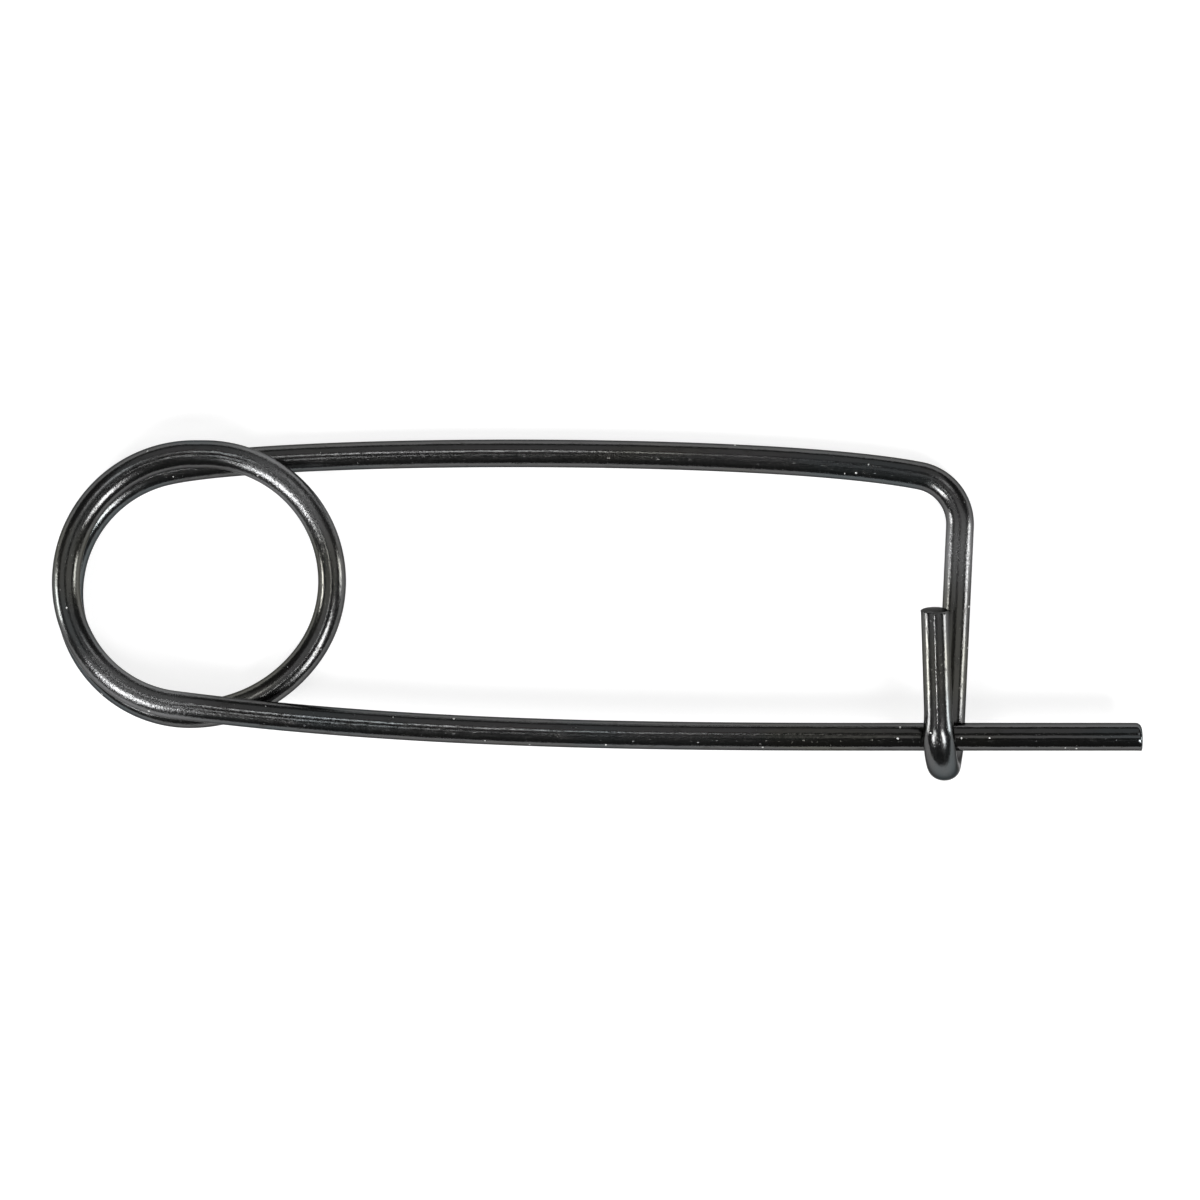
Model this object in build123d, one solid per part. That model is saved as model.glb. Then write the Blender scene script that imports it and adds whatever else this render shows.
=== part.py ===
# Steel safety pin: one length of round spring wire, bent into a coiled eye, two arms and a
# clasp. It lies flat. The origin is the middle of the eye on the bench, +X runs along the
# arms towards the clasp, +Y from the straight arm to the arched one, and +Z up.
import os
from math import asin, atan, cos, degrees, radians, sin, tan
from build123d import *

# Wire
wire_diameter = 2.38
layer_gap = 0.18  # air between lengths of wire that lie over each other
free_end_break = 0.25  # rounding of the sheared edge of the free end
prong_end_break = 0.22  # rounding of the sheared edge of the prong

# Straight arm: a free end beyond the clasp, then a length sprung towards the eye
free_end_length = 14.75
spring_length = 67.4  # from the clasp to the eye, along X
spring_rise = 2.72  # how far the sprung length has bent, across its own line
spring_sag = 0.16  # more of that bend taken close to the eye

# Eye, one and a half turns of slightly oval coil, by the radius of each stretch of its
# centreline in the order the wire takes them
front_low_radius = 10.46
front_high_radius = 10.87
crown_flat = 0.87  # straight stretch at the top of the eye
right_radius = 10.76
right_angle = 125  # turned at right_radius; closing_radius turns the rest of that half
closing_radius = 12.5
back_low_radius = 10.32
back_high_radius = 10.67
arch_angle = 13.6  # climb of the arched arm where it leaves the eye

# Arched arm and the corner it ends in
arch_hold_eye = 8.78  # how far the arch keeps the eye's direction
arch_hold_corner = 13.46  # how far back the arch takes up the corner's direction
corner_rise = 22.2  # start of the corner above the straight arm's line
corner_fall = 11  # slope of the arm going into the corner
corner_radius = 4.2

# Clasp: the leg behind the straight arm, the hook under it and the prong in front
clasp_gap = 0.15  # from the side of the leg to the free end's start
leg_lean = 2.63  # towards the eye, going down
hook_drop = 0.07  # hook's middle below the straight arm's line
prong_offset = 1.17  # how far the hook carries the prong's line towards the eye
prong_lean_side = 2.2  # towards the eye, going up
prong_lean_out = 5.5  # away from the arm, going up
prong_reach = 13.6  # end of the prong above the hook's foot
prong_lift = 0.4  # more room under the prong than a layer's, for the straight arm
hook_reach = 4.2  # where the hook's bend runs out into the prong, above its foot

# Heights of the three layers that the wire lies in
wire_radius = wire_diameter / 2
layer_step = wire_diameter + layer_gap
back_height = wire_radius
front_height = back_height + layer_step
prong_height = front_height + layer_step + prong_lift


def heading(angle):
    return (cos(radians(angle)), sin(radians(angle)))


def step(point, angle, distance):
    along = heading(angle)
    return (point[0] + distance * along[0], point[1] + distance * along[1])


# Clockwise arc from start, setting off at angle, with the point and angle it ends at
def bend(start, angle, radius, turned):
    arc = JernArc(start, heading(angle), radius, -turned)
    end = arc @ 1
    return arc, (end.X, end.Y), angle - turned


# Quarter bend in space between two points, tangent to the lines that meet at corner
def rounded(start, corner, end):
    hold = 0.5523  # of the way to the corner, for a round quarter turn
    start, corner, end = Vector(*start), Vector(*corner), Vector(*end)
    return Bezier(start, start + (corner - start) * hold, end + (corner - end) * hold, end)


# Straight arm, in the front layer. The sprung length follows the curve of a cantilever
# loaded at the clasp, a cubic whose bend grows from nothing there to most at the eye.
eye_slope = degrees(atan(3 * (spring_rise + spring_sag) / spring_length))
arm_end = (
    front_low_radius - front_high_radius - front_low_radius * sin(radians(eye_slope)),
    -front_low_radius * cos(radians(eye_slope)),
)
arm_y = arm_end[1] - spring_rise
clasp_x = arm_end[0] + spring_length
tip = (clasp_x + free_end_length, arm_y)
free_end = Line(tip, (clasp_x, arm_y))
sprung = Bezier(
    (clasp_x, arm_y),
    (clasp_x - spring_length / 3, arm_y),
    (clasp_x - spring_length * 2 / 3, arm_y - spring_sag),
    arm_end,
)

# Front half turn of the eye, up the left side to the crown
low_front, point, angle = bend(arm_end, 180 - eye_slope, front_low_radius, 90 - eye_slope)
high_front, point, angle = bend(point, angle, front_high_radius, 90)
crown_end = step(point, angle, crown_flat)
crown = Line(point, crown_end)
front_layer = Pos(0, 0, front_height) * Curve([free_end, sprung, low_front, high_front, crown])

# Right half turn, in a plane that slopes from the front layer at the crown to the back
# layer at the foot, so it passes under the straight arm
right_upper, point, angle = bend((0, 0), 0, right_radius, right_angle)
right_lower, foot, angle = bend(point, angle, closing_radius, 180 - right_angle)
slope_down = degrees(asin(layer_step / -foot[1]))
sloped = Pos(crown_end[0], crown_end[1], front_height) * Rot(X=slope_down)
right_turn = sloped * Curve([right_upper, right_lower])
foot = (crown_end[0] + foot[0], crown_end[1] + foot[1] * cos(radians(slope_down)))

# Back half turn of the eye, up the left side behind the front one
low_back, point, angle = bend(foot, angle, back_low_radius, 90)
high_back, point, angle = bend(point, angle, back_high_radius, 90 - arch_angle)
arch_start, arch_heading = point, angle

# The leg stands beside the free end's start, and the corner above the leg
hook_y = arm_y - hook_drop
leg_end = (clasp_x - clasp_gap - wire_radius, hook_y)
corner_turn = 90 - corner_fall + leg_lean
corner_span = bend((0, 0), -corner_fall, corner_radius, corner_turn)[1]
corner_start_y = arm_y + corner_rise
leg_height = corner_start_y + corner_span[1] - hook_y
corner_start = (leg_end[0] + leg_height * tan(radians(leg_lean)) - corner_span[0], corner_start_y)
corner, corner_end, angle = bend(corner_start, -corner_fall, corner_radius, corner_turn)
leg = Line(corner_end, leg_end)

# Arched arm, from the eye to the corner
arch = Bezier(
    arch_start,
    step(arch_start, arch_heading, arch_hold_eye),
    step(corner_start, -corner_fall, -arch_hold_corner),
    corner_start,
)
back_layer = Pos(0, 0, back_height) * Curve([low_back, high_back, arch, corner, leg])

# Hook: a half turn round under the straight arm, from the back layer to the prong's,
# that drifts towards the eye as it rises
foot_y = hook_y - layer_step
lean = tan(radians(leg_lean))
side = tan(radians(prong_lean_side))
out = tan(radians(prong_lean_out))
back_corner_x = leg_end[0] - layer_step * lean
front_corner_x = back_corner_x - prong_offset
hook_middle = ((back_corner_x + front_corner_x) / 2, foot_y, front_height)


# A point on the prong's line, at a height above the hook's foot
def on_prong(above_foot):
    return (
        front_corner_x - side * above_foot,
        foot_y + above_foot,
        prong_height + out * above_foot,
    )


hook_back = rounded((*leg_end, back_height), (back_corner_x, foot_y, back_height), hook_middle)
hook_front = rounded(hook_middle, on_prong(0), on_prong(hook_reach))
prong = Line(on_prong(hook_reach), on_prong(prong_reach))

# The wire, its round section carried along the whole bent line in one piece
wire_line = Wire(
    front_layer.edges() + right_turn.edges() + back_layer.edges() + [hook_back, hook_front, prong]
)
section = Plane(origin=(*tip, front_height), z_dir=(-1, 0, 0)) * Circle(wire_radius)
pin_wire = sweep(section, path=wire_line)

# Sheared ends, their edges slightly rolled over
sheared = pin_wire.faces().filter_by(GeomType.PLANE).sort_by(Axis.X)
pin_wire = fillet(sheared[-1].edges(), free_end_break)
sheared = pin_wire.faces().filter_by(GeomType.PLANE).sort_by(Axis.X)
pin_wire = fillet(sheared[0].edges(), prong_end_break)

os.makedirs("parts", exist_ok=True)
export_step(pin_wire, "parts/pin_wire.step")
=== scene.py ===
import bmesh
import bpy
from math import asin, atan, ceil, cos, degrees, pi, radians, sin, tan
from mathutils import Matrix, Vector


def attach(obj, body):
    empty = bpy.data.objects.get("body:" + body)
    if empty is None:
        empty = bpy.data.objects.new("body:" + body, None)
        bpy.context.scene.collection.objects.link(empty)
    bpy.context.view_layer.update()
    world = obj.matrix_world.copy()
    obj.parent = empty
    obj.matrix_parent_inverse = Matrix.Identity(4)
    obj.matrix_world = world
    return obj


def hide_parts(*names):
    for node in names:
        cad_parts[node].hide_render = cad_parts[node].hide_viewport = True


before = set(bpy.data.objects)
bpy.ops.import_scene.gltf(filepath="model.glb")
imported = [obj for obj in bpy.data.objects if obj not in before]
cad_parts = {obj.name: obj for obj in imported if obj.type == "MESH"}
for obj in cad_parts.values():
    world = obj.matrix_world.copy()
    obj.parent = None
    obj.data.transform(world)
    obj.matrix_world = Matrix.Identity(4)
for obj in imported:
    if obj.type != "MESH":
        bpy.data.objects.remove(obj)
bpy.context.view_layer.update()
rowName = "pin_wire"


# A socket of a node tree that can be written as part of a sum
class Socket:
    def __init__(self, tree, socket):
        self.tree = tree
        self.socket = socket

    def make(self, kind, settings=None, sockets=None, out=0):
        node = self.tree.nodes.new(kind)
        for name, value in (settings or {}).items():
            setattr(node, name, value)
        for name, value in (sockets or {}).items():
            if isinstance(value, Socket):
                self.tree.links.new(value.socket, node.inputs[name])
            else:
                node.inputs[name].default_value = value
        return Socket(self.tree, node.outputs[out])

    def other(self, out):
        return Socket(self.tree, self.socket.node.outputs[out])

    def maths(self, operation, first, second):
        return self.make("ShaderNodeMath", {"operation": operation}, {0: first, 1: second})

    def __add__(self, value):
        return self.maths("ADD", self, value)

    def __radd__(self, value):
        return self.maths("ADD", value, self)

    def __sub__(self, value):
        return self.maths("SUBTRACT", self, value)

    def __rsub__(self, value):
        return self.maths("SUBTRACT", value, self)

    def __mul__(self, value):
        return self.maths("MULTIPLY", self, value)

    def __rmul__(self, value):
        return self.maths("MULTIPLY", value, self)

    def atMost(self, value):
        return self.maths("MINIMUM", self, value)

    def atLeast(self, value):
        return self.maths("MAXIMUM", self, value)

    def ramp(self, low, high):  # smooth change from 0 at low to 1 at high
        return self.make("ShaderNodeMapRange", {"interpolation_type": "SMOOTHSTEP"},
                         {"Value": self, "From Min": low, "From Max": high})

    def stretch(self, x, y, z):  # a vector times three numbers
        return self.make("ShaderNodeVectorMath", {"operation": "MULTIPLY"}, {0: self, 1: (x, y, z)})

    def noise(self, scale, detail, roughness):
        return self.make("ShaderNodeTexNoise", {}, {"Vector": self, "Scale": scale, "Detail": detail,
                                                    "Roughness": roughness})

    def blend(self, first, second):  # two colours, self is the share of the second
        return self.make("ShaderNodeMix", {"data_type": "RGBA"}, {0: self, 6: first, 7: second}, 2)

    def store(self, name, kind, value):  # the geometry, with an attribute kept on its points
        return self.make("GeometryNodeStoreNamedAttribute", {"data_type": kind, "domain": "POINT"},
                         {"Geometry": self, "Name": name, "Value": value})


def emptyMaterial(name):
    material = bpy.data.materials.new(name)
    material.use_nodes = True
    material.node_tree.nodes.clear()
    return material, Socket(material.node_tree, None)


def finishMaterial(shader):
    output = shader.tree.nodes.new("ShaderNodeOutputMaterial")
    shader.tree.links.new(shader.socket, output.inputs["Surface"])


# Camera, straight above the pin as in the photograph
cameraView = {"x": 0.03442, "y": -0.001498, "height": 0.400, "lens": 140.18, "nearest": 0.01}
cameraData = bpy.data.cameras.new("camera")
cameraData.lens = cameraView["lens"]
cameraData.clip_start = cameraView["nearest"]
camera = bpy.data.objects.new("camera", cameraData)
camera.location = (cameraView["x"], cameraView["y"], cameraView["height"])
bpy.context.scene.collection.objects.link(camera)
bpy.context.scene.camera = camera
bpy.context.scene.view_settings.view_transform = "Standard"

# Studio: pale floor, two strong soft lamps in front, low ones at the sides, and wide dim cards
studio = {
    "roomLight": 0.06,
    "floorSize": 20.0,
    "floorDrop": 0.00002,  # below the height that the pin rests at
    "floorColour": (0.50, 0.50, 0.50, 1),
    "floorGlow": (0.76, 1.0),  # near the pin, where its shadow lies, and far off
    "glowReach": (0.10, 0.45),  # distances from under the camera between which it changes
    # name: azimuth from +X, angle from straight up, distance, width, height, brightness
    "lamps": {
        "frontRight": (310, 45, 0.70, 0.15, 0.30, 15.0),
        "frontLeft": (232, 47, 0.70, 0.16, 0.28, 15.0),
        "high": (238, 14, 0.70, 0.045, 0.07, 8.0),
        "lowLeft": (186, 83, 0.70, 0.20, 0.22, 13.5),
        "lowRight": (355, 80, 0.70, 0.18, 0.22, 9.5),
        "slot": (100, 19, 0.70, 0.09, 0.06, 9.0),
        "backCard": (90, 52, 0.75, 1.00, 0.55, 0.30),
        "leftCard": (180, 31, 0.75, 0.40, 0.50, 0.45),
        "rightCard": (0, 26, 0.75, 0.28, 0.62, 0.52),
        "backRight": (42, 37, 0.70, 0.12, 0.24, 1.7),
        "backLeft": (140, 31, 0.70, 0.12, 0.16, 2.6),
    },
}


def addLamp(name, azimuth, lean, distance, width, height, brightness):
    lampData = bpy.data.lights.new(name, "AREA")
    lampData.shape = "RECTANGLE"
    lampData.size, lampData.size_y = width, height
    lampData.energy = brightness * pi * width * height
    lamp = bpy.data.objects.new(name, lampData)
    turned, leant = radians(azimuth), radians(lean)
    away = Vector((sin(leant) * cos(turned), sin(leant) * sin(turned), cos(leant)))
    lamp.location = Vector((cameraView["x"], cameraView["y"], 0)) + away * distance
    lamp.rotation_euler = away.to_track_quat("Z", "Y").to_euler()
    bpy.context.scene.collection.objects.link(lamp)


def makeFloor():
    half, bottom = studio["floorSize"] / 2, -studio["floorDrop"]
    x, y = cameraView["x"], cameraView["y"]
    mesh = bpy.data.meshes.new("floor")
    mesh.from_pydata([(x - half, y - half, bottom), (x + half, y - half, bottom),
                      (x + half, y + half, bottom), (x - half, y + half, bottom)], [], [(0, 1, 2, 3)])
    floor = bpy.data.objects.new("floor", mesh)
    bpy.context.scene.collection.objects.link(floor)
    material, start = emptyMaterial("paleFloor")
    rays = start.make("ShaderNodeLightPath")
    seen = (rays + rays.other("Is Glossy Ray") + rays.other("Is Transmission Ray")).atMost(1.0)
    place = start.make("ShaderNodeTexCoord", {}, {}, "Object")
    away = start.make("ShaderNodeVectorMath", {"operation": "DISTANCE"}, {0: place, 1: (x, y, 0)}, "Value")
    near, far = ((glow, glow, glow, 1) for glow in studio["floorGlow"])
    glowColour = away.ramp(*studio["glowReach"]).blend(near, far)
    matt = start.make("ShaderNodeBsdfDiffuse", {}, {"Color": studio["floorColour"]})
    glowing = start.make("ShaderNodeEmission", {}, {"Color": glowColour, "Strength": seen})
    finishMaterial(start.make("ShaderNodeAddShader", {}, {0: matt, 1: glowing}))
    mesh.materials.append(material)
    return floor


world = bpy.data.worlds.new("room")
bpy.context.scene.world = world
world.use_nodes = True
room = world.node_tree.nodes["Background"]
room.inputs["Color"].default_value = (1, 1, 1, 1)
room.inputs["Strength"].default_value = studio["roomLight"]
for lampName, lampPlace in studio["lamps"].items():
    addLamp(lampName, *lampPlace)
floor = makeFloor()
print("camera, floor and lamps placed")

# The wire, in metres and degrees, with the solid's sizes apart from a tighter turn into the prong
wire = {
    "radius": 0.00119,
    "layerGap": 0.00018,
    "freeEndLength": 0.01475,
    "springLength": 0.0674,
    "springRise": 0.00272,
    "springSag": 0.00016,
    "frontLowRadius": 0.01046,
    "frontHighRadius": 0.01087,
    "crownFlat": 0.00087,
    "rightRadius": 0.01076,
    "rightAngle": 125,
    "closingRadius": 0.0125,
    "backLowRadius": 0.01032,
    "backHighRadius": 0.01067,
    "archAngle": 13.6,
    "archHoldEye": 0.00878,
    "archHoldCorner": 0.01346,
    "cornerRise": 0.0222,
    "cornerFall": 11,
    "cornerRadius": 0.0042,
    "claspGap": 0.00015,
    "legLean": 2.63,
    "hookDrop": 0.00007,
    "prongOffset": 0.00117,
    "prongLeanSide": 2.2,
    "prongLeanOut": 5.5,
    "prongReach": 0.0136,
    "prongLift": 0.0004,
    "hookReach": 0.0034,
    "hookHolds": (0.63, 0.35),  # the hook's upper bend turns tighter towards the prong
    "roundHolds": (0.5523, 0.5523),  # for an even quarter turn
    "bendPiece": 30,  # most that one piece of a bend turns
    "curveSteps": 96,
    "sides": 64,
    "ringSpacing": 0.00027,
}


def heading(angle):
    return Vector((cos(radians(angle)), sin(radians(angle)), 0))


def straight(start, end):
    return [(start, start.lerp(end, 1 / 3), start.lerp(end, 2 / 3), end)]


def bend(start, angle, radius, turned):  # clockwise, with the point and angle that it ends at
    pieces = ceil(turned / wire["bendPiece"])
    part = turned / pieces
    hold = 4 / 3 * tan(radians(part) / 4) * radius
    centre = start + radius * heading(angle - 90)
    runs = []
    for number in range(pieces):
        first, last = angle - part * number, angle - part * (number + 1)
        a, b = centre + radius * heading(first + 90), centre + radius * heading(last + 90)
        runs.append((a, a + hold * heading(first), b - hold * heading(last), b))
    return runs, runs[-1][3], angle - turned


def rounded(start, corner, end, holds):
    return [(start, start.lerp(corner, holds[0]), end.lerp(corner, holds[1]), end)]


def moved(runs, matrix):
    return [tuple(matrix @ point for point in run) for run in runs]


def wireRoute(size):
    radius = size["radius"]
    layerStep = 2 * radius + size["layerGap"]
    backHeight, frontHeight = radius, radius + layerStep
    prongHeight = frontHeight + layerStep + size["prongLift"]

    # front layer: free end, sprung arm and the front half turn of the eye, up to its crown
    lowRadius, highRadius = size["frontLowRadius"], size["frontHighRadius"]
    slope = atan(3 * (size["springRise"] + size["springSag"]) / size["springLength"])
    armEnd = Vector((lowRadius - highRadius - lowRadius * sin(slope), -lowRadius * cos(slope), 0))
    armY = armEnd.y - size["springRise"]
    claspX = armEnd.x + size["springLength"]
    clasp = Vector((claspX, armY, 0))
    third = Vector((size["springLength"] / 3, 0, 0))
    sag = Vector((0, size["springSag"], 0))
    front = straight(clasp + Vector((size["freeEndLength"], 0, 0)), clasp)
    front += [(clasp, clasp - third, clasp - 2 * third - sag, armEnd)]
    turn, point, angle = bend(armEnd, 180 - degrees(slope), lowRadius, 90 - degrees(slope))
    front += turn
    turn, point, angle = bend(point, angle, highRadius, 90)
    front += turn
    crown = point + size["crownFlat"] * heading(angle)
    front += straight(point, crown)

    # right half turn, which slopes down to the back layer
    upper, point, angle = bend(Vector((0, 0, 0)), 0, size["rightRadius"], size["rightAngle"])
    lower, foot, angle = bend(point, angle, size["closingRadius"], 180 - size["rightAngle"])
    slopeDown = asin(layerStep / -foot.y)
    sloped = Matrix.Translation(crown + Vector((0, 0, frontHeight))) @ Matrix.Rotation(slopeDown, 4, "X")
    right = moved(upper + lower, sloped)
    foot = Vector((crown.x + foot.x, crown.y + foot.y * cos(slopeDown), 0))

    # back layer: back half turn of the eye, arched arm, corner and leg
    back, point, angle = bend(foot, angle, size["backLowRadius"], 90)
    turn, archStart, angle = bend(point, angle, size["backHighRadius"], 90 - size["archAngle"])
    back += turn
    hookY = armY - size["hookDrop"]
    legEnd = Vector((claspX - size["claspGap"] - radius, hookY, 0))
    cornerTurn = 90 - size["cornerFall"] + size["legLean"]
    span = bend(Vector((0, 0, 0)), -size["cornerFall"], size["cornerRadius"], cornerTurn)[1]
    lean = tan(radians(size["legLean"]))
    cornerY = armY + size["cornerRise"]
    cornerStart = Vector((legEnd.x + (cornerY + span.y - hookY) * lean - span.x, cornerY, 0))
    back += [(archStart, archStart + size["archHoldEye"] * heading(angle),
              cornerStart - size["archHoldCorner"] * heading(-size["cornerFall"]), cornerStart)]
    turn, cornerEnd, angle = bend(cornerStart, -size["cornerFall"], size["cornerRadius"], cornerTurn)
    back += turn + straight(cornerEnd, legEnd)

    # hook under the straight arm, and the prong in front of it
    footY = hookY - layerStep
    side, out = tan(radians(size["prongLeanSide"])), tan(radians(size["prongLeanOut"]))
    backX = legEnd.x - layerStep * lean
    frontX = backX - size["prongOffset"]
    middle = Vector(((backX + frontX) / 2, footY, frontHeight))

    def onProng(above):
        return Vector((frontX - side * above, footY + above, prongHeight + out * above))

    hook = rounded(legEnd + Vector((0, 0, backHeight)), Vector((backX, footY, backHeight)), middle,
                   size["roundHolds"])
    hook += rounded(middle, onProng(0), onProng(size["hookReach"]), size["hookHolds"])
    prong = straight(onProng(size["hookReach"]), onProng(size["prongReach"]))
    return (moved(front, Matrix.Translation((0, 0, frontHeight))) + right
            + moved(back, Matrix.Translation((0, 0, backHeight))) + hook + prong)


def routeCurve(name, runs):
    curve = bpy.data.curves.new(name, "CURVE")
    curve.dimensions = "3D"
    curve.twist_mode = "MINIMUM"
    spline = curve.splines.new("BEZIER")
    spline.bezier_points.add(len(runs))
    spline.resolution_u = wire["curveSteps"]
    for point in spline.bezier_points:
        point.handle_left_type = point.handle_right_type = "FREE"
    for number, (start, leaving, arriving, end) in enumerate(runs):
        spline.bezier_points[number].co = start
        spline.bezier_points[number].handle_right = leaving
        spline.bezier_points[number + 1].handle_left = arriving
        spline.bezier_points[number + 1].co = end
    spline.bezier_points[0].handle_left = runs[0][0] * 2 - runs[0][1]
    spline.bezier_points[-1].handle_right = runs[-1][3] * 2 - runs[-1][2]
    return bpy.data.objects.new(name, curve)


# The hook as the bending tool pressed it, from start to end by length along the wire from the free end
pressedHook = {"start": 0.2714, "end": 0.2808, "fade": 0.0030, "wider": 0.13, "thinner": 0.08}

# Sheared ends: rounding of the edge at its sharpest and softest, how far the face slants back towards
# one side, how far it swells, and the burrs that the shear leaves
shearedEnds = {
    "free": {"sharp": 0.00012, "soft": 0.00046, "softSide": (0, 1, 0.25), "slant": 0.00005,
             "slantSide": (0, 1, 0.25), "swell": 0.00006,
             # each burr: how far, to which side, how narrow, and the share of it that stands up
             "burrs": ((0.00007, (0, -1, 0.3), 8, 0.0),)},
    "prong": {"sharp": 0.00010, "soft": 0.00022, "softSide": (1, 0, 0.35), "slant": 0.00034,
              "slantSide": (0.15, 0, 1), "swell": 0.00004,
              "burrs": ((0.00015, (-1, 0, 0.35), 10, 0.0), (0.00007, (-0.42, 0, 0.90), 60, 1.0))},
    "softening": 1.5,  # power by which the edge softens towards its soft side
    "burrWidth": 1 / 3,  # of the face's radius, in from the edge
    "edgeRings": 9,
    "faceRings": 10,
    "nearTip": 0.004,  # open edges nearer than this to a tip belong to it
}


def sweepTree(material):
    tree = bpy.data.node_groups.new("wireSweep", "GeometryNodeTree")
    for label, kind, direction in (("Geometry", "NodeSocketGeometry", "INPUT"),
                                   ("Wire Radius", "NodeSocketFloat", "INPUT"),
                                   ("Sides", "NodeSocketInt", "INPUT"),
                                   ("Ring Spacing", "NodeSocketFloat", "INPUT"),
                                   ("Free End Break", "NodeSocketFloat", "INPUT"),
                                   ("Prong End Break", "NodeSocketFloat", "INPUT"),
                                   ("Geometry", "NodeSocketGeometry", "OUTPUT")):
        tree.interface.new_socket(name=label, in_out=direction, socket_type=kind)
    given = Socket(tree, tree.nodes.new("NodeGroupInput").outputs[0])
    radius = given.other("Wire Radius")
    length = given.make("GeometryNodeCurveLength", {}, {"Curve": given})
    along = given.make("GeometryNodeSplineParameter", {}, {}, "Length")
    position = given.make("GeometryNodeInputPosition")
    # length from the free end and the wire's middle, kept before the ends are cut back for their edges
    kept = given.store("along", "FLOAT", along).store("spine", "FLOAT_VECTOR", position)
    firstCut, lastCut = given.other("Free End Break"), length - given.other("Prong End Break")
    cut = given.make("GeometryNodeTrimCurve", {"mode": "LENGTH"}, {"Curve": kept, 4: firstCut, 5: lastCut})
    rings = given.make("GeometryNodeResampleCurve", {"mode": "LENGTH"},
                       {"Curve": cut, "Length": given.other("Ring Spacing")})
    circle = given.make("GeometryNodeCurvePrimitiveCircle", {"mode": "RADIUS"},
                        {"Resolution": given.other("Sides"), "Radius": radius})
    profile = circle.store("profilePlace", "FLOAT_VECTOR", position)
    tube = given.make("GeometryNodeCurveToMesh", {}, {"Curve": rings, "Profile Curve": profile})
    # place on the wire: across its section, then along it
    onProfile = given.make("GeometryNodeInputNamedAttribute", {"data_type": "FLOAT_VECTOR"},
                           {"Name": "profilePlace"})
    across = given.make("ShaderNodeSeparateXYZ", {}, {0: onProfile})
    lengthwise = given.make("GeometryNodeInputNamedAttribute", {"data_type": "FLOAT"}, {"Name": "along"})
    place = given.make("ShaderNodeCombineXYZ", {}, {0: across, 1: across.other(1), 2: lengthwise})
    placed = tube.store("wirePlace", "FLOAT_VECTOR", place)
    smooth = given.make("GeometryNodeSetShadeSmooth", {}, {"Geometry": placed, "Shade Smooth": True})
    real = given.make("GeometryNodeRealizeInstances", {}, {"Geometry": smooth})
    finished = given.make("GeometryNodeSetMaterial", {}, {"Geometry": real, "Material": material})
    output = tree.nodes.new("NodeGroupOutput")
    tree.links.new(finished.socket, output.inputs[0])
    return tree


def sweepWire(runs, material):
    route = routeCurve("wireRoute", runs)
    bpy.context.scene.collection.objects.link(route)
    tree = sweepTree(material)
    modifier = route.modifiers.new("wireSweep", "NODES")
    modifier.node_group = tree
    values = {"Wire Radius": wire["radius"], "Sides": wire["sides"], "Ring Spacing": wire["ringSpacing"],
              "Free End Break": endDepth(shearedEnds["free"]),
              "Prong End Break": endDepth(shearedEnds["prong"])}
    for item in tree.interface.items_tree:
        if item.in_out == "INPUT" and item.name in values:
            modifier[item.identifier] = values[item.name]
    graph = bpy.context.evaluated_depsgraph_get()
    swept = route.evaluated_get(graph)
    mesh = bpy.data.meshes.new_from_object(swept, preserve_all_data_layers=True, depsgraph=graph)
    bpy.data.objects.remove(route)
    return mesh


def endDepth(end):  # how far back from its tip an end's shape starts
    return end["soft"] + end["slant"]


def sideOf(direction, outward):  # the part of a direction that lies across the wire
    direction = Vector(direction)
    return (direction - direction.dot(outward) * outward).normalized()


def facing(spoke, side):  # from 0 on the far side to 1 on the near one
    return 0.5 + 0.5 * spoke.dot(side)


# Rings from an open end's rim, round its edge and over its face to one point in the middle
def closeEnd(shape, layer, loop, centre, outward, end, lengthSign):
    radius, depth = wire["radius"], endDepth(end)
    softSide, slantSide = sideOf(end["softSide"], outward), sideOf(end["slantSide"], outward)
    burrs = [(size, sideOf(side, outward), power, lift) for size, side, power, lift in end["burrs"]]
    faceRings, edgeRings = shearedEnds["faceRings"], shearedEnds["edgeRings"]
    softening, burrWidth = shearedEnds["softening"], shearedEnds["burrWidth"]
    old = loop
    for number in range(1, edgeRings + faceRings + 1):
        fresh = []
        for vertex in loop:
            spoke = (vertex.co - centre) / radius
            edge = end["sharp"] + (end["soft"] - end["sharp"]) * facing(spoke, softSide) ** softening
            if number <= edgeRings:
                turned = pi / 2 * number / edgeRings
                level = depth - edge + edge * sin(turned)
                share = 1 - edge / radius * (1 - cos(turned))
                push = sin(turned)
            else:
                inward = (number - edgeRings) / faceRings
                level = depth
                share = (1 - edge / radius) * (1 - inward)
                push = max(0, 1 - inward / burrWidth) ** 2
            level -= end["slant"] * facing(share * spoke, slantSide) + end["swell"] * share ** 2
            place = centre + spoke * radius * share + outward * level
            for size, side, power, lift in burrs:
                amount = size * push * max(0, spoke.dot(side)) ** power
                place += side * amount * (1 - lift) + outward * amount * lift
            if number == edgeRings + faceRings and fresh:
                fresh.append(fresh[0])
                continue
            point = shape.verts.new(place)
            x, y, z = vertex[layer]
            point[layer] = (x * share, y * share, z + level * lengthSign)
            fresh.append(point)
        for index in range(len(loop)):
            after = (index + 1) % len(loop)
            corners = [old[index], old[after], fresh[after], fresh[index]]
            if fresh[after] is fresh[index]:
                corners = corners[:3]
            face = shape.faces.new(corners)
            face.smooth = True
        old = fresh


def orderedLoop(edges):  # the rim's points, one after another
    loop = list(edges[0].verts)
    while True:
        step = next(edge for edge in loop[-1].link_edges if edge in edges and loop[-2] not in edge.verts)
        following = step.other_vert(loop[-1])
        if following is loop[0]:
            return loop
        loop.append(following)


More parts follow.
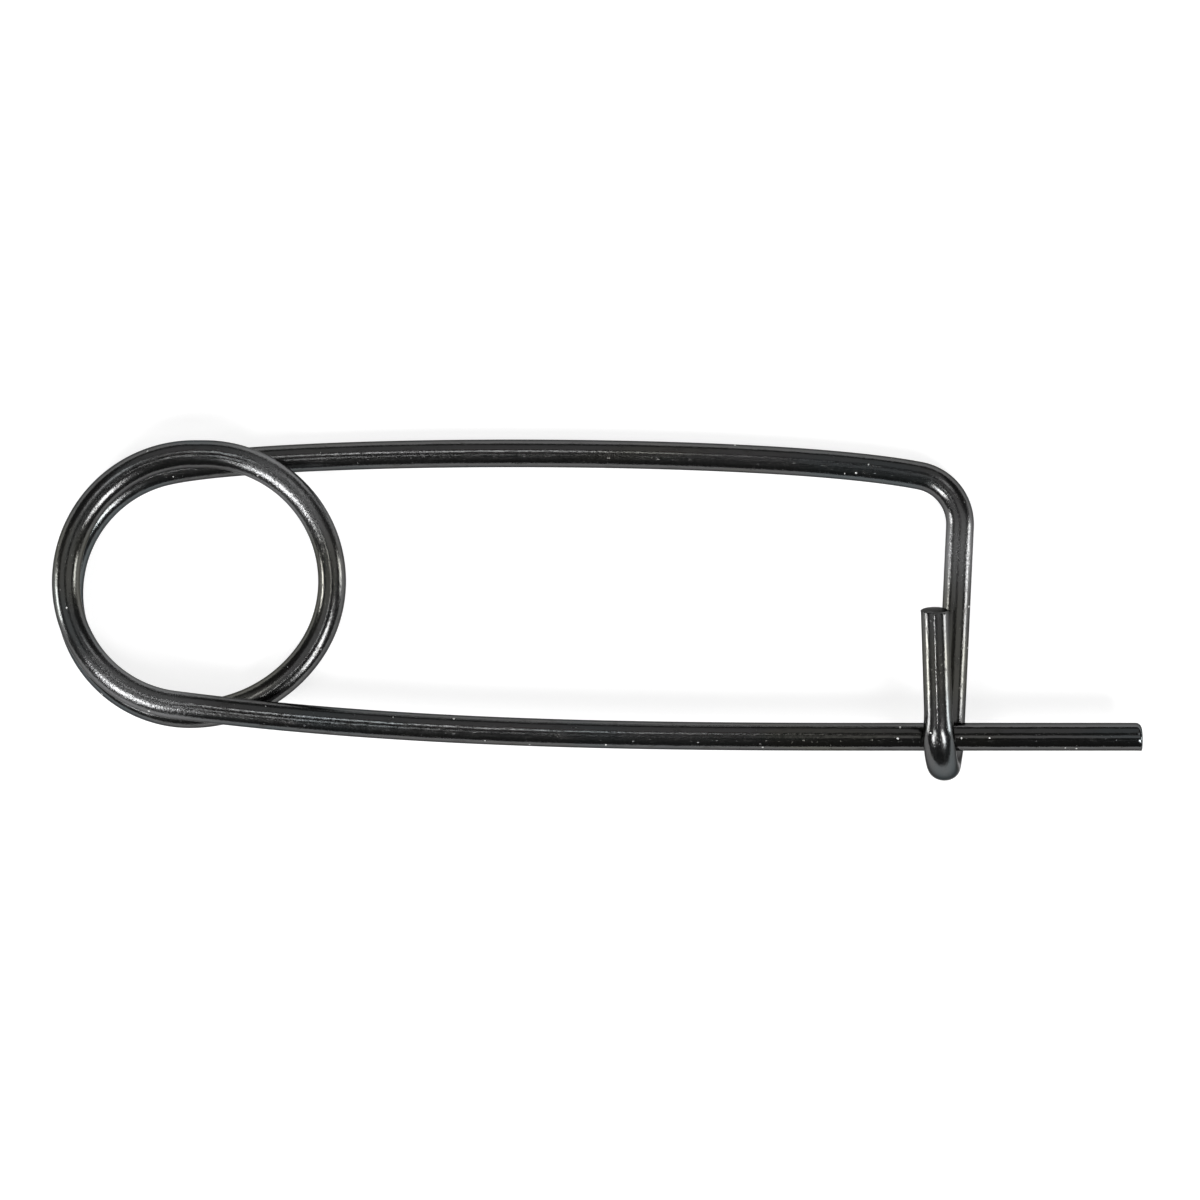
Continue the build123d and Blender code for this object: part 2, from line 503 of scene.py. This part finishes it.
def flattenHook(shape, layer):  # wider along X and thinner the other way
    spine = shape.verts.layers.float_vector["spine"]
    start, end, fade = pressedHook["start"], pressedHook["end"], pressedHook["fade"]
    for vertex in shape.verts:
        along = vertex[layer].z
        share = min(1, max(0, (along - start) / fade), max(0, (end - along) / fade))
        share = share * share * (3 - 2 * share)  # eased in and out
        spoke = vertex.co - vertex[spine]
        across = spoke.x * (1 + pressedHook["wider"] * share)
        rest = (spoke - Vector((spoke.x, 0, 0))) * (1 - pressedHook["thinner"] * share)
        vertex.co = vertex[spine] + rest + Vector((across, 0, 0))


def closeEnds(mesh, runs):
    shape = bmesh.new()
    shape.from_mesh(mesh)
    layer = shape.verts.layers.float_vector["wirePlace"]
    flattenHook(shape, layer)
    rims = [edge for edge in shape.edges if edge.is_boundary]
    # each end's tip, the point before it, and which way length along the wire grows there
    tips = {"free": (runs[0][0], runs[0][1], -1), "prong": (runs[-1][3], runs[-1][2], 1)}
    for name, (tip, before, lengthSign) in tips.items():
        end = shearedEnds[name]
        outward = (tip - before).normalized()
        rim = [edge for edge in rims if (edge.verts[0].co - tip).length < shearedEnds["nearTip"]]
        centre = tip - outward * endDepth(end)
        closeEnd(shape, layer, orderedLoop(rim), centre, outward, end, lengthSign)
    bmesh.ops.recalc_face_normals(shape, faces=shape.faces)
    shape.to_mesh(mesh)
    shape.free()


# Thin bright plate over drawn steel wire. Its colours are set far darker than the plate's own: painted
# shade that stands in for the dark surroundings it mirrors
plate = {
    "steel": (0.100, 0.100, 0.100, 1),
    "blueTint": (0.090, 0.099, 0.102, 1),
    "strawTint": (0.105, 0.104, 0.095, 1),
    "coatTint": (0.075, 0.074, 0.071, 1),
    # lighter steel for the rubbed stretches: partly wear, partly painted highlight
    "rubbedSteelWithPaintedHighlight": (0.165, 0.166, 0.168, 1),
    # near-white colour of the painted glints
    "paintedGlintColour": (0.90, 0.90, 0.88, 1),
    "edgeTint": (0.3, 0.3, 0.3, 1),
    # patterns: stretch twice across the wire and once along it, then scale, detail and roughness
    "patterns": {
        "drawLines": ((1, 1, 0.005), (21000, 2.0, 0.6)),
        "broadLines": ((1, 1, 0.07), (4800, 2.0, 0.55)),
        "grain": ((1, 1, 0.85), (6200, 2.0, 0.65)),
        "waves": ((1, 1, 0.8), (850, 1.0, 0.5)),
        "drift": ((0.6, 0.6, 0.12), (420, 2.0, 0.55)),
        "scuffs": ((1, 1, 0.4), (2300, 3.0, 0.65)),
    },
    # where a pattern takes hold: none of it at the first value, all at the second
    "limits": {"scuffs": (0.54, 0.70), "bluish": (0.52, 0.66), "straw": (0.46, 0.34),
               "pipSize": (0.12, 0.02), "pipChoice": (0.25, 0.35),
               "paintedGlintSize": (0.13, 0.07), "paintedGlintChoice": (0.84, 0.88), "dotSize": (0.18, 0.04)},
    "pipScale": 1150.0,
    "dotScale": 3100.0,
    "scuffShade": 0.7,  # share of the coat's tint in a scuff
    # heights of the surface's relief, in metres
    "relief": {"drawLines": 0.0000010, "broadLines": 0.0000020, "grain": 0.0000110, "waves": 0.0000260,
               "pips": 0.0000300, "dots": 0.0000180},
    # how much of the grain and dots there is on plain plate, and what scuffs, rubbing and smoothing change
    "grainShare": {"plain": 0.6, "scuffs": 1.2, "rubbedWithPaintedHighlight": 1.5, "smoothed": 0.6},
    "plainDots": 0.5,
    "roughness": {"plain": 0.19, "broadLines": 0.06, "grain": 0.20, "scuffs": 0.06, "rubbedWithPaintedHighlight": 0.05,
                  "paintedGlints": 0.4, "smoothed": 0.08, "least": 0.06},
    # stretches along the wire from the free end, and how far they fade out and in at their ends:
    # where the coiling tool rubbed it, lighter there as painted highlight where the highlights fall, and
    # where the plate has yellowed
    "rubbedWithPaintedHighlight": ((0.081, 0.090), (0.119, 0.127), (0.252, 0.256)),
    "rubbedWithPaintedHighlightFade": (0.003, 0.002),
    "yellowed": ((0.095, 0.102), (0.262, 0.266), (0.282, 0.286)),
    "yellowedFade": (0.002, 0.001),
    "smoothed": (0.045, 0.015),  # towards the free end the plate is smoother
    # a thin line that the bending tool left up the prong, by its side of the wire's section, painted
    # bright as the glint along that scratch
    "scratchWithPaintedGlint": {"side": (-0.528, 0.849, 0), "narrow": (0.9984, 0.9995), "worn": (0.36, 0.56),
                 "start": 0.2790, "end": 0.2887, "fade": 0.001, "colour": (0.80, 0.80, 0.80, 1)},
}


def makeZincSteel():
    material, start = emptyMaterial("zincSteel")
    place = start.make("ShaderNodeAttribute", {"attribute_name": "wirePlace"}, {}, "Vector")
    along = place.make("ShaderNodeSeparateXYZ", {}, {0: place}, 2)
    limits, relief = plate["limits"], plate["relief"]
    middle = 0.5  # of a noise, which swings both ways from it

    def pattern(name):
        stretch, noise = plate["patterns"][name]
        return place.stretch(*stretch).noise(*noise)

    def cells(scale):  # distance from the middle of each cell, and the cell's own number
        distance = place.make("ShaderNodeTexVoronoi", {}, {"Vector": place, "Scale": scale})
        return distance, place.make("ShaderNodeSeparateXYZ", {}, {0: distance.other("Color")})

    def within(spans, outer, inner):  # 1 in each span, fading over its ends
        return sum(along.ramp(first - outer, first + inner) * along.ramp(last + outer, last - inner)
                   for first, last in spans)

    # long lines from the drawing die, the plate's grain, waves from straightening, small pips and dots
    drawLines, broadLines = pattern("drawLines"), pattern("broadLines")
    grain, waves = pattern("grain"), pattern("waves")
    pipDistance, pipNumber = cells(plate["pipScale"])
    pips = pipDistance.ramp(*limits["pipSize"]) * pipNumber.ramp(*limits["pipChoice"])
    # small bright dots of painted glint, standing in for the glints of tiny pits
    paintedGlints = pipDistance.ramp(*limits["paintedGlintSize"]) * pipNumber.ramp(*limits["paintedGlintChoice"])
    dotDistance, dotNumber = cells(plate["dotScale"])
    dots = dotDistance.ramp(*limits["dotSize"]) * dotNumber
    rubbedWithPaintedHighlight = within(plate["rubbedWithPaintedHighlight"], *plate["rubbedWithPaintedHighlightFade"])
    yellowed = within(plate["yellowed"], *plate["yellowedFade"])
    smoothed = along.ramp(*plate["smoothed"])

    # colour that drifts along the wire, and scuffed patches where the plate has dulled
    drift = pattern("drift")
    scuffs = pattern("scuffs").ramp(*limits["scuffs"])
    straw = (drift.ramp(*limits["straw"]) + yellowed).atMost(1.0)
    # the darkened steel colour is painted shade for the dark surroundings that the plate mirrors
    colour = straw.blend(plate["steel"], plate["strawTint"])
    colour = drift.ramp(*limits["bluish"]).blend(colour, plate["blueTint"])
    colour = (scuffs * plate["scuffShade"]).blend(colour, plate["coatTint"])
    # lighter where rubbed: partly wear, partly painted highlight
    colour = rubbedWithPaintedHighlight.blend(colour, plate["rubbedSteelWithPaintedHighlight"])

    # the scratch line up the prong, painted bright as its glint and broken where the grain is low, and the
    # specks, bright dots of painted glint
    line = plate["scratchWithPaintedGlint"]
    towards = place.make("ShaderNodeVectorMath", {"operation": "DOT_PRODUCT"},
                         {0: place, 1: line["side"]}, "Value")
    paintedScratchGlint = (towards * (1 / wire["radius"])).ramp(*line["narrow"]) * grain.ramp(*line["worn"])
    paintedScratchGlint = paintedScratchGlint * along.ramp(line["start"], line["start"] + line["fade"])
    paintedScratchGlint = paintedScratchGlint * along.ramp(line["end"] + line["fade"], line["end"])
    colour = paintedScratchGlint.blend(colour, line["colour"])
    # painted glints: bright white dots
    colour = paintedGlints.blend(colour, plate["paintedGlintColour"])

    gloss = plate["roughness"]
    roughness = (gloss["plain"] + (broadLines - middle) * gloss["broadLines"]
                 + (grain - middle) * gloss["grain"] + scuffs * gloss["scuffs"] + rubbedWithPaintedHighlight * gloss["rubbedWithPaintedHighlight"]
                 + paintedGlints * gloss["paintedGlints"] - smoothed * gloss["smoothed"]).atLeast(gloss["least"])
    share = plate["grainShare"]
    grainShare = share["plain"] + scuffs * share["scuffs"] + rubbedWithPaintedHighlight * share["rubbedWithPaintedHighlight"]
    unsmoothed = 1 - smoothed * share["smoothed"]
    height = ((drawLines - middle) * relief["drawLines"] + (broadLines - middle) * relief["broadLines"]
              + (grain - middle) * grainShare * unsmoothed * relief["grain"]
              + (waves - middle) * relief["waves"] + pips * relief["pips"]
              + dots * (plate["plainDots"] + scuffs) * relief["dots"])
    bump = place.make("ShaderNodeBump", {}, {"Strength": 1.0, "Distance": 1.0, "Height": height})
    finishMaterial(place.make("ShaderNodeBsdfPrincipled", {}, {
        "Base Color": colour, "Metallic": 1.0, "Specular Tint": plate["edgeTint"], "Roughness": roughness,
        "Normal": bump}))
    return material


zincSteel = makeZincSteel()
print("zinc steel made")
wireRuns = wireRoute(wire)
wireMesh = sweepWire(wireRuns, zincSteel)
print("wire swept")
closeEnds(wireMesh, wireRuns)
wireMesh.name = "pinWire"
pinWire = bpy.data.objects.new("pinWire", wireMesh)
bpy.context.scene.collection.objects.link(pinWire)
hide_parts(rowName)
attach(pinWire, "root")
print("ends closed,", sum(len(face.vertices) - 2 for face in wireMesh.polygons), "triangles")
